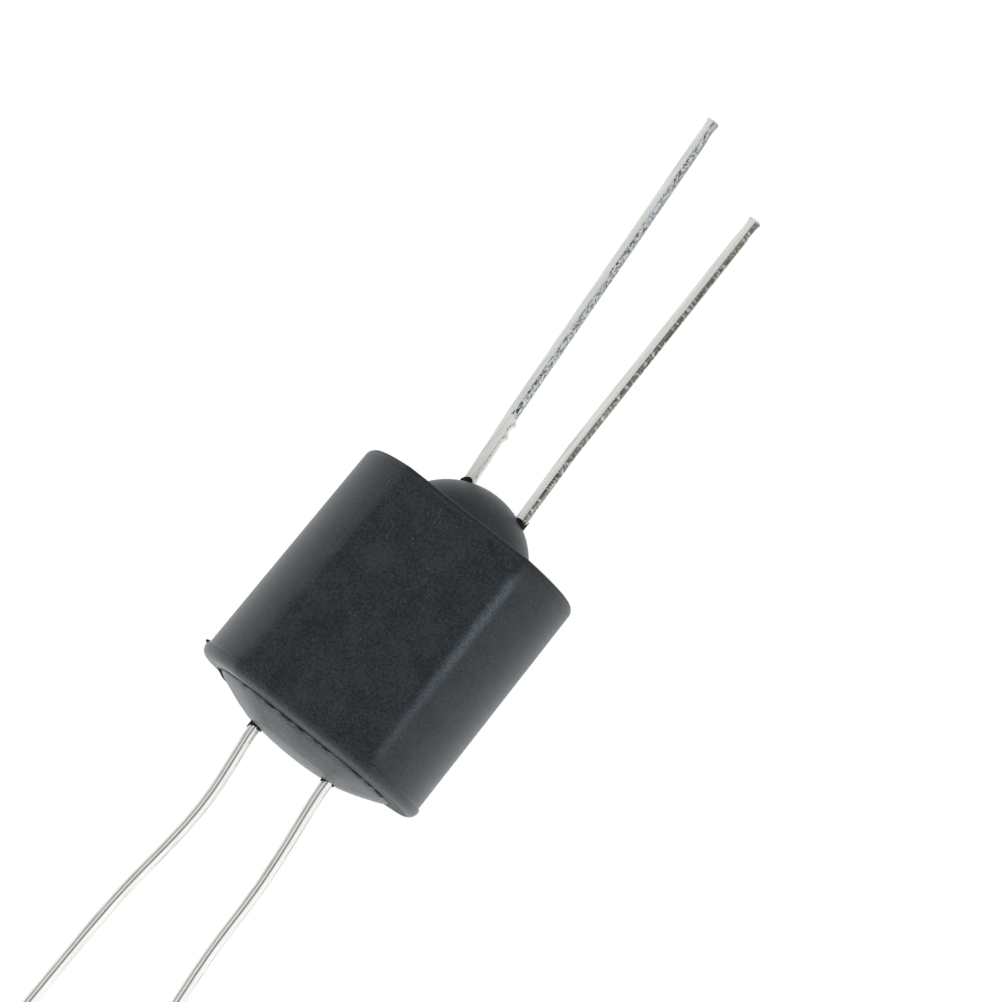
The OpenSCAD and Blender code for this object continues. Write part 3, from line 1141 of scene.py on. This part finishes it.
        pick(Pick.EDGE, on_ring)
        bevel(width, steps)

    def round_creases(self) -> None:
        """Rounds the edges between the flats and the round sides."""

        def on_crease(edge: Edge) -> bool:
            """True for an edge that runs along the case between a flat and a round side."""
            run = edge.verts[1].co - edge.verts[0].co
            along = abs(run.x) > 0.5 * run.length
            return along and edge.calc_face_angle(0) > math.radians(20)

        pick(Pick.EDGE, on_crease)
        bevel(self.crease_round, self.crease_steps)

    def add_dome(self, piece: Piece) -> None:
        """Joins the dome to the lamp end, with a small round at its foot.

        Args:
            piece: The case.
        """
        segments, rings = self.dome_facets
        bpy.ops.mesh.primitive_uv_sphere_add(
            segments=segments,
            ring_count=rings,
            radius=self.dome_radius,
            location=(self.dome_top - self.dome_radius, 0, AXIS_HEIGHT),
            rotation=ALONG_AXIS,
        )
        dome = named("dome")
        with editing(dome):
            slice_across((self.lamp_end - OVERLAP, 0, 0), (-1, 0, 0), keep_below=True)
        combine(piece, dome, "UNION")
        centre = Vector((self.lamp_end, 0, AXIS_HEIGHT))

        def on_foot(edge: Edge) -> bool:
            """True for an edge where the dome meets the lamp end."""
            ends = [v.co for v in edge.verts]
            on_face = all(abs(co.x - self.lamp_end) < ON_PLANE for co in ends)
            near = all((co - centre).length < self.dome_reach for co in ends)
            return on_face and near and edge.calc_face_angle(0) > math.radians(20)

        with editing(piece):
            pick(Pick.EDGE, on_foot)
            bevel(self.dome_foot, self.dome_steps, clamp=True)

    def cut_inside(self, piece: Piece) -> None:
        """Cuts the plug's pocket, the cell's and the lamp's rooms and the lead holes.

        Args:
            piece: The case.
        """
        pocket = round_bar(self.open_end - 1.0, self.pocket_floor, self.pocket_radius)
        with editing(pocket):
            cut_flats(self.pocket_flat)
            ease_corners(self.pocket_radius, self.pocket_flat, self.pocket_corner)
        combine(piece, pocket, "DIFFERENCE")
        cell_room = (self.pocket_floor - OVERLAP, self.cell_face, self.cell_radius)
        lamp_room = (self.cell_face - OVERLAP, self.lamp_base, self.lamp_bore)
        for room in (cell_room, lamp_room):
            combine(piece, round_bar(*room), "DIFFERENCE")
        turn = math.radians(-self.lamp_turn)
        start, end = self.lamp_base - OVERLAP, self.dome_top + OVERLAP
        for side in SIDES:
            reach = side * self.lead_pitch / 2
            bpy.ops.mesh.primitive_cube_add(
                size=1.0,
                location=((start + end) / 2, reach * math.cos(turn), AXIS_HEIGHT + reach * math.sin(turn)),
                rotation=(turn, 0, 0),
                scale=(end - start, self.lead_hole, self.lead_hole),
            )
            combine(piece, named("lead_hole"), "DIFFERENCE")

    def shade(self, piece: Piece) -> None:
        """Smooths the shading, and keeps the large faces flat."""
        super().shade(piece)
        modify(piece, "WEIGHTED_NORMAL", keep_sharp=True)


@dataclass
class EndPlug(Dressed):
    """The plug behind the cell: a pillow with a seam round it that gapes in places."""

    node: str = "end_plug"
    slot: Slot = Slot.PLUG
    smooth: float = 40.0
    finishes: tuple[Finish, ...] = (PLUG_FINISH,)
    radius: float = 4.065
    flat: float = 3.015
    rim: float = -5.025
    inner: float = -1.975
    crown: float = 0.94
    wire_pitch: float = 3.4
    wire_hole: float = 0.215
    sides: int = 160
    flat_cuts: int = 48
    corner: float = 0.6
    hip: Span = (24.0, 72.0)
    hip_foot: float = 1.5
    round_from: float = 0.1
    rounder: float = 0.04
    crown_from: float = 0.08
    crown_passes: int = 20
    hip_from: float = 0.02
    hip_passes: int = 45
    edge_band: Span = (0.05, 0.01)
    pillow: tuple[Span, ...] = (
        (0.99, 0.01),
        (0.96, 0.1),
        (0.925, 0.19),
        (0.88, 0.28),
        (0.83, 0.375),
        (0.785, 0.46),
        (0.74, 0.54),
        (0.695, 0.612),
        (0.647, 0.675),
        (0.6, 0.73),
        (0.555, 0.778),
        (0.463, 0.853),
        (0.37, 0.915),
        (0.28, 0.96),
        (0.19, 0.99),
        (0.1, 1.0),
    )
    gapes: tuple[tuple[float, float, float], ...] = (
        (3.62, 3.25, 0.4),
        (2.78, 2.51, 1.0),
        (2.33, 1.84, 0.5),
        (1.66, 1.17, 1.0),
        (0.91, 0.38, 1.0),
        (0.19, -0.3, 1.0),
        (-0.67, -0.97, 1.0),
        (-1.12, -1.46, 1.0),
        (-2.1, -2.4, 0.5),
        (-2.55, -2.97, 1.0),
        (-3.12, -3.42, 1.0),
        (-3.55, -3.85, 1.0),
    )
    gape_depth: float = 0.085

    def build(self) -> Piece:
        """Models the plug.

        Returns:
            The plug, in millimetres.
        """
        piece = round_bar(self.rim, self.inner, self.radius, sides=self.sides, name="plug_pillow")
        with editing(piece):
            cut_flats(self.flat)
            ease_corners(self.radius, self.flat, self.corner)
            pick(Pick.EDGE, lambda e: abs(e.verts[0].co.y - e.verts[1].co.y) > 1.0)
            bpy.ops.mesh.subdivide(number_cuts=self.flat_cuts)
            self.swell()
            self.open_seam()
        for side in SIDES:
            hole = round_bar(self.rim - 2.0, self.inner + 1.0, self.wire_hole, side * self.wire_pitch / 2)
            combine(piece, hole, "DIFFERENCE")
        weld(piece)
        return piece

    def swell(self) -> None:
        """Draws the outer end out into a pillow, ring by ring."""
        pick(Pick.FACE, lambda f: f.normal.x < -0.9)
        width, out = 1.0, 0.0
        for share, height in self.pillow:
            step = ((out - height) * self.crown, 0, 0)
            bpy.ops.mesh.extrude_region_move(TRANSFORM_OT_translate={"value": step})
            scale = share / width
            bpy.ops.transform.resize(value=(1, scale, scale), center_override=(self.rim, 0, AXIS_HEIGHT))
            if height > self.round_from:
                bpy.ops.transform.tosphere(value=self.rounder)
            width, out = share, height
        pick(Pick.VERT, lambda v: v.co.x < self.rim - self.crown_from * self.crown)
        self.smooth_along(self.crown_passes)

        def on_hip(place: Vector) -> bool:
            """True for a point of the pillow towards a corner of its outline."""
            high = abs(place.z - AXIS_HEIGHT)
            outer = math.hypot(place.y, high) > self.hip_foot and place.x < self.rim - self.hip_from
            return outer and self.hip[0] < math.degrees(math.atan2(abs(place.y), high)) < self.hip[1]

        pick(Pick.VERT, lambda v: on_hip(v.co))
        self.smooth_along(self.hip_passes)

    @staticmethod
    def smooth_along(passes: int) -> None:
        """Evens out the selected points along the axis."""
        bpy.ops.mesh.vertices_smooth(factor=0.5, repeat=passes, xaxis=True, yaxis=False, zaxis=False)

    def open_seam(self) -> None:
        """Pulls the edge of the pillow off the case where the seam gapes."""
        out, inwards = self.edge_band

        def on_edge(place: Vector) -> bool:
            """True for a point on the upper half of the pillow's edge."""
            return self.rim - out < place.x < self.rim + inwards and place.z > AXIS_HEIGHT

        for start, end, share in self.gapes:
            pick(Pick.VERT, lambda v: on_edge(v.co) and end < v.co.y < start)
            scale = 1 - share * self.gape_depth / self.flat
            bpy.ops.transform.resize(value=(1, scale, scale), center_override=(self.rim, 0, AXIS_HEIGHT))


@dataclass
class LampLead(Dressed):
    """A stamped lead of the lamp: smooth faces, a sheared side and a pinched tip."""

    node: str
    name: str
    sheared_from: float
    sheared_round: float
    finishes: tuple[Finish, ...]
    slot: Slot = Slot.LEAD
    smooth: float = 35.0
    edge_round: float = 0.03
    round_steps: int = 2
    exit: float = 6.08
    slack: float = 0.01
    pinch: tuple[Span, ...] = ((0.95, 1.0), (0.5, 0.88), (0.22, 0.95), (0.06, 1.1))

    def on_front_edge(self, edge: Edge) -> bool:
        """Tells whether an edge lies between the front face and the side that was sheared.

        Args:
            edge: The edge.

        Returns:
            True if it does.
        """
        if len(edge.link_faces) != 2 or middle(edge).x < self.sheared_from:
            return False
        normals = [face.normal for face in edge.link_faces]
        return any(n.z > 0.9 for n in normals) and any(n.y < -0.9 for n in normals)

    def build(self) -> Piece:
        """Models the lead from its CAD node.

        Returns:
            The lead, in millimetres.
        """

        def on_sharp_edge(edge: Edge) -> bool:
            """True for a sharp edge outside the case."""
            return middle(edge).x > self.exit and edge.calc_face_angle(0) > math.radians(50)

        piece = copy_of_node(self.node, self.name)
        with editing(piece):
            slice_across((self.sheared_from - 0.1, 0, 0), (1, 0, 0))
            pick(Pick.EDGE, self.on_front_edge)
            bevel(self.sheared_round, self.round_steps, clamp=True)
            pick(Pick.EDGE, on_sharp_edge)
            bevel(self.edge_round, self.round_steps)
        self.pinch_tip(piece)
        return piece

    def pinch_tip(self, piece: Piece) -> None:
        """Narrows the lead just short of its end, and spreads the end, as a cutter leaves it.

        Args:
            piece: The lead.
        """
        end = max(v.co.x for v in piece.data.vertices)
        with editing(piece):
            for back, _ in self.pinch:
                slice_across((end - back, 0, 0), (1, 0, 0))
            for back, share in self.pinch:
                reach = back + self.slack if back == self.pinch[-1][0] else self.slack
                place = end - back
                pick(Pick.VERT, lambda v: -self.slack < v.co.x - place < reach)
                ring = [v.co for v in bmesh.from_edit_mesh(piece.data).verts if v.select]
                centre = sum(ring, Vector()) / len(ring)
                bpy.ops.transform.resize(value=(1, share, 1), center_override=centre)

    def has_second(self, face: Face) -> bool:
        """Tells whether a face shows torn metal: the sheared side, and the rounds beside the front face.

        Args:
            face: The face.

        Returns:
            True if it does.
        """
        turn = face.normal
        if abs(turn.x) > 0.6 or middle(face).x < self.exit:
            return False
        if turn.y < -0.93:
            return middle(face).x > self.sheared_from
        return turn.y < -0.2 and turn.z > 0.2


@dataclass
class TornCuff(Dressed):
    """A ragged skin of rubber where a lead or a wire comes out."""

    name: str
    place: Point
    heights: tuple[float, ...]
    outwards: float
    slot: Slot
    node: str | None = None
    smooth: float = 50.0
    finishes: tuple[Finish, ...] = (TORN_FINISH,)
    radius: float = 0.29
    root: float = 0.25
    thickness: float = 0.035
    rough: float = 0.006

    def build(self) -> Piece:
        """Models the cuff: an open tube whose outer edge is pulled to the given heights.

        Returns:
            The cuff, in millimetres.
        """
        x, y, z = self.place
        bpy.ops.mesh.primitive_cylinder_add(
            vertices=len(self.heights),
            radius=self.radius,
            depth=self.root,
            end_fill_type="NOTHING",
            location=(x - self.outwards * self.root / 2, y, z),
            rotation=ALONG_AXIS,
        )
        piece = named(self.name)
        with editing(piece):
            self.tear()
        modify(piece, "SUBSURF", levels=1, subdivision_type="SIMPLE")
        modify(piece, "SOLIDIFY", thickness=self.thickness, offset=0.0)
        with editing(piece):
            bpy.ops.mesh.select_all(action="SELECT")
            bpy.ops.transform.vertex_random(offset=self.rough, uniform=0.2, seed=len(self.heights))
            bpy.ops.mesh.normals_make_consistent(inside=False)
        return piece

    def tear(self) -> None:
        """Pulls each point of the outer edge to its height, counted from the top round by the right."""
        x, y, z = self.place
        step = math.tau / len(self.heights)
        for index, height in enumerate(self.heights):
            angle = step * index
            spot = Vector((x, y - self.radius * math.sin(angle), z + self.radius * math.cos(angle)))
            pick(Pick.VERT, lambda v: (v.co - spot).length < 0.3 * self.radius * step)
            bpy.ops.transform.translate(value=(self.outwards * height, 0, 0))


@dataclass
class Crumb(Dressed):
    """A loose scrap of rubber left by the mould: a ball squeezed long and roughed."""

    name: str
    place: Point
    size: Point
    turn: Point
    slot: Slot
    seed: int
    rough: float = 0.02
    node: str | None = None
    smooth: float = 60.0
    finishes: tuple[Finish, ...] = (TORN_FINISH,)

    def build(self) -> Piece:
        """Models the scrap.

        Returns:
            The scrap, in millimetres.
        """
        bpy.ops.mesh.primitive_ico_sphere_add(
            subdivisions=4,
            radius=0.5,
            location=self.place,
            rotation=tuple(math.radians(angle) for angle in self.turn),
            scale=self.size,
        )
        piece = named(self.name)
        with editing(piece):
            bpy.ops.mesh.select_all(action="SELECT")
            bpy.ops.transform.vertex_random(offset=self.rough, uniform=0.0, seed=self.seed)
            bpy.ops.mesh.vertices_smooth(factor=0.5, repeat=1)
        return piece


@dataclass
class CellWire(Dressed):
    """A drawn round wire of the light cell, slack where it leaves the plug."""

    node: str
    name: str
    side: float
    turns: tuple[Span, ...]
    shift: float = 0.0
    slot: Slot = Slot.WIRE
    smooth: float = 40.0
    finishes: tuple[Finish, ...] = (WIRE_FINISH, WIRE_SHADE_FINISH)
    # Normal Y limits outside which a face takes the painted shade.
    painted_shade_edges: Span = (-0.85, 0.3)
    radius: float = 0.228
    pitch: float = 3.4
    start: float = -0.575
    exit: float = -5.935
    length: float = 18.0
    rings: int = 90
    facets: int = 8

    def heading(self, share: float) -> float:
        """Finds which way the wire runs.

        Args:
            share: A share of its length, counted from the plug.

        Returns:
            Its angle there, in degrees.
        """
        angle = 0.0
        for part, turn in self.turns:
            if share <= 0:
                break
            angle += turn * min(share / part, 1.0)
            share -= part
        return angle

    def route(self) -> list[Vector]:
        """Finds the line that the wire follows.

        Returns:
            Points from its joint to its end, in millimetres.
        """
        at = Vector((self.exit, self.side * self.pitch / 2 + self.shift, AXIS_HEIGHT))
        points = [Vector((self.start, at.y, at.z)), Vector((self.start / 2 + self.exit / 2, at.y, at.z)), at.copy()]
        for i in range(self.rings):
            angle = math.radians(self.heading((i + 0.5) / self.rings))
            at = at + Vector((-math.cos(angle), -math.sin(angle), 0)) * (self.length / self.rings)
            points.append(at.copy())
        return points

    def build(self) -> Piece:
        """Models the wire as a round tube along its route.

        Returns:
            The wire, in millimetres.
        """
        bpy.ops.curve.primitive_nurbs_path_add(location=(0, 0, 0))
        curve = bpy.context.active_object
        curve.data.splines.remove(curve.data.splines[0])
        spline = curve.data.splines.new("POLY")
        points = self.route()
        spline.points.add(len(points) - 1)
        for item, place in zip(spline.points, points):
            item.co = (*place, 1.0)
        curve.data.dimensions = "3D"
        curve.data.bevel_depth = self.radius
        curve.data.bevel_resolution = self.facets
        curve.data.use_fill_caps = True
        select_only(curve)
        bpy.ops.object.convert(target="MESH")
        piece = named(self.name)
        with editing(piece):
            bpy.ops.mesh.select_all(action="SELECT")
            bpy.ops.mesh.remove_doubles(threshold=1e-4)
            bpy.ops.mesh.normals_make_consistent(inside=False)
        return piece

    def has_second(self, face: Face) -> bool:
        """True for a face turned far enough to the side to take the painted shade: the +Y side and a thin rim on the
        -Y side.
        """
        low, high = self.painted_shade_edges
        return not low < face.normal.y < high


@dataclass
class Bench:
    """The pale bench, the soft light and the camera."""

    pixels: float = 1002.0
    pixels_in_mm: float = 26.6
    lens: float = 200.0
    sensor: float = 36.0
    tilt: float = 6.0
    roll: float = 7.5
    lean: float = 38.83
    aim: Point = (6.489, -0.176, AXIS_HEIGHT)
    floor_height: float = -0.08
    floor_side: float = 3000.0
    floor_glow: float = 1.1
    floor_fade: float = 16.0
    floor_limits: Span = (0.55, 1.6)
    floor_tint: Colour = (0.95, 0.99, 1.0)
    side_light: float = 0.15
    end_light: float = 0.3
    tent: tuple[tuple[float, Colour], ...] = (
        (0.0, (0.8, 0.83, 0.85)),
        (0.5, (0.8, 0.85, 0.88)),
        (0.93, (0.9, 0.94, 0.96)),
        (0.965, (0.7, 0.73, 0.76)),
        (0.985, (0.22, 0.26, 0.3)),
    )

    def set_camera(self) -> None:
        """Stands the camera over the part, at the angle of the photograph."""
        back = Vector((-math.sin(math.radians(self.tilt)), -math.sin(math.radians(self.roll)), 0))
        back.z = math.sqrt(1 - back.length_squared)
        along = Vector((1, 0, 0))
        along = (along - along.dot(back) * back).normalized()
        right = along.cross(back)
        lean = math.radians(self.lean)
        up = along * math.cos(lean) - right * math.sin(lean)
        side = up.cross(back)
        width = self.pixels / self.pixels_in_mm * MM
        distance = width * self.lens / self.sensor
        data = bpy.data.cameras.new("camera")
        data.lens = self.lens
        data.sensor_width = self.sensor
        data.clip_start = 0.001
        data.clip_end = 10.0
        camera = bpy.data.objects.new("camera", data)
        bpy.context.scene.collection.objects.link(camera)
        aim = Vector(self.aim) * MM
        turned = [list(row) for row in zip(side, up, back)]
        camera.matrix_world = Matrix.Translation(aim + back * distance) @ Matrix(turned).to_4x4()
        bpy.context.scene.camera = camera

    def lay_floor(self) -> None:
        """Lays the pale floor under the part."""
        bpy.ops.mesh.primitive_plane_add(size=self.floor_side * MM, location=(0, 0, self.floor_height * MM))
        floor = bpy.context.active_object
        floor.name = "floor"
        made = bpy.data.materials.new("floor_white")
        made.use_nodes = True
        made.node_tree.nodes.clear()
        sheet = NodeSheet(made.node_tree)
        x, _, _ = sheet.split(sheet.node("ShaderNodeTexCoord").outputs["Object"])
        fade = sheet.math("MULTIPLY_ADD", x, -self.floor_fade, self.floor_glow)
        lit = sheet.node("ShaderNodeEmission")
        lit.inputs["Color"].default_value = (*self.floor_tint, 1.0)
        sheet.feed(lit.inputs["Strength"], sheet.ramp(fade, *self.floor_limits, *self.floor_limits))
        sheet.show(lit, sheet.node("ShaderNodeEmission"), "ShaderNodeOutputMaterial")
        floor.data.materials.append(made)

    def light(self) -> None:
        """Sets a soft white tent that is darker overhead, round the camera."""
        scene = bpy.context.scene
        scene.view_settings.view_transform = "Standard"
        world = bpy.data.worlds.new("tent")
        scene.world = world
        world.use_nodes = True
        world.node_tree.nodes.clear()
        sheet = NodeSheet(world.node_tree)
        x, y, z = sheet.split(sheet.node("ShaderNodeTexCoord").outputs["Generated"])
        tones = sheet.node("ShaderNodeValToRGB")
        ramp = tones.color_ramp
        ramp.interpolation = "EASE"
        while len(ramp.elements) < len(self.tent):
            ramp.elements.new(0.5)
        for element, (at, tint) in zip(ramp.elements, self.tent):
            element.position = at
            element.color = (*tint, 1.0)
        sheet.feed(tones.inputs["Fac"], sheet.math("MULTIPLY_ADD", z, 0.5, 0.5))
        lean = sheet.math("MULTIPLY_ADD", y, -self.side_light, 1.0)
        lean = sheet.math("ADD", lean, sheet.math("MULTIPLY", x, -self.end_light))
        glow = sheet.node("ShaderNodeBackground")
        sheet.feed(glow.inputs["Color"], tones.outputs["Color"])
        sheet.feed(glow.inputs["Strength"], lean)
        seen = sheet.node("ShaderNodeBackground")
        seen.inputs["Color"].default_value = (1, 1, 1, 1)
        sheet.show(glow, seen, "ShaderNodeOutputWorld")


@dataclass
class Optocoupler:
    """The whole part, from its case to its sealed pieces."""

    case: CaseShell = field(default_factory=CaseShell)
    plug: EndPlug = field(default_factory=EndPlug)
    leads: tuple[LampLead, ...] = (
        LampLead("led_anode_lead", "anode_lead", 9.42, 0.16, (LEAD_FINISH, ANODE_SIDE_FINISH)),
        LampLead("led_cathode_lead", "cathode_lead", 6.18, 0.12, (LEAD_FINISH, CATHODE_SIDE_FINISH)),
    )
    wires: tuple[CellWire, ...] = (
        CellWire(
            "cell_wire_a",
            "slack_wire_a",
            1.0,
            ((0.025, 7.2), (0.07, 0), (0.045, -2), (0.085, -6.9), (0.085, -4), (0.065, 0), (0.11, 3.5), (0.12, 1.5)),
        ),
        CellWire(
            "cell_wire_b",
            "slack_wire_b",
            -1.0,
            ((0.02, 5), (0.06, 2.7), (0.04, 0), (0.1, -2.5), (0.1, -4.1), (0.04, 0), (0.12, 4.6)),
            shift=-0.035,
        ),
    )
    cuffs: tuple[TornCuff, ...] = (
        TornCuff(
            "anode_cuff",
            (6.275, 1.258, 3.773),
            (0.2, 0.17, 0.07, 0.02, 0.13, 0.04, *[0.0] * 8, 0.02, 0.0, -0.02, 0.03, 0.11, 0.17),
            1.0,
            Slot.CASE,
        ),
        TornCuff(
            "cathode_cuff",
            (6.275, -1.258, 4.127),
            (0.09, 0.07, 0.02, 0.0, 0.06, 0.2, 0.05, *[0.0] * 7, 0.05, 0.09, 0.02, 0.0, 0.03, 0.08),
            1.0,
            Slot.CASE,
        ),
        TornCuff(
            "wire_a_cuff",
            (-5.855, 1.7, AXIS_HEIGHT),
            (0.06, 0.03, 0.1, 0.05, 0.04, 0.08, 0.02, 0.0, 0.0, 0.03)
            + (0.0, 0.0, 0.02, 0.0, 0.06, 0.24, 0.07, 0.03, 0.11, 0.05),
            -1.0,
            Slot.PLUG,
            radius=0.26,
        ),
        TornCuff(
            "wire_b_cuff",
            (-5.84, -1.735, AXIS_HEIGHT),
            (0.0, -0.05, -0.12, -0.05, 0.0, 0.03, 0.02, 0.0, 0.0, 0.03)
            + (0.0, 0.0, 0.02, 0.04, 0.1, 0.07, 0.12, 0.05, 0.06, 0.02),
            -1.0,
            Slot.PLUG,
            radius=0.26,
        ),
    )
    crumbs: tuple[Crumb, ...] = (
        Crumb("seam_crumb", (-5.1, 3.95, 3.7), (0.15, 0.66, 0.4), (0.0, 0.0, -20.0), Slot.PLUG, seed=3, rough=0.04),
        Crumb("lip_burr", (-4.5, 5.06, 3.95), (0.16, 0.34, 0.3), (0.0, 0.0, -8.0), Slot.CASE, seed=5),
    )

    def build(self, nodes: dict[str, Piece], effects: Effects) -> None:
        """Builds and dresses every piece.

        Args:
            nodes: The CAD nodes by name.
            effects: The shared node groups.
        """
        for part in (self.case, self.plug, *self.leads, *self.wires, *self.cuffs, *self.crumbs):
            part.dress(part.build(), effects)
        self.dress_inside(nodes, effects)

    def dress_inside(self, nodes: dict[str, Piece], effects: Effects) -> None:
        """Gives each sealed CAD node its own finish.

        Args:
            nodes: The CAD nodes by name.
            effects: The shared node groups.
        """
        for name, finish in INNER_FINISHES.items():
            mesh = nodes[name].data
            mesh.materials.clear()
            mesh.materials.append(finish.material(effects))
            log.info("%s: %s", name, finish.name)


def main() -> None:
    """Loads the frame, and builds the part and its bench."""
    logging.basicConfig(level=logging.INFO, format="%(message)s")
    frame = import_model()
    bench = Bench()
    bench.set_camera()
    bench.lay_floor()
    bench.light()
    Optocoupler().build(frame["nodes"], Effects())


if __name__ == "__main__":
    main()
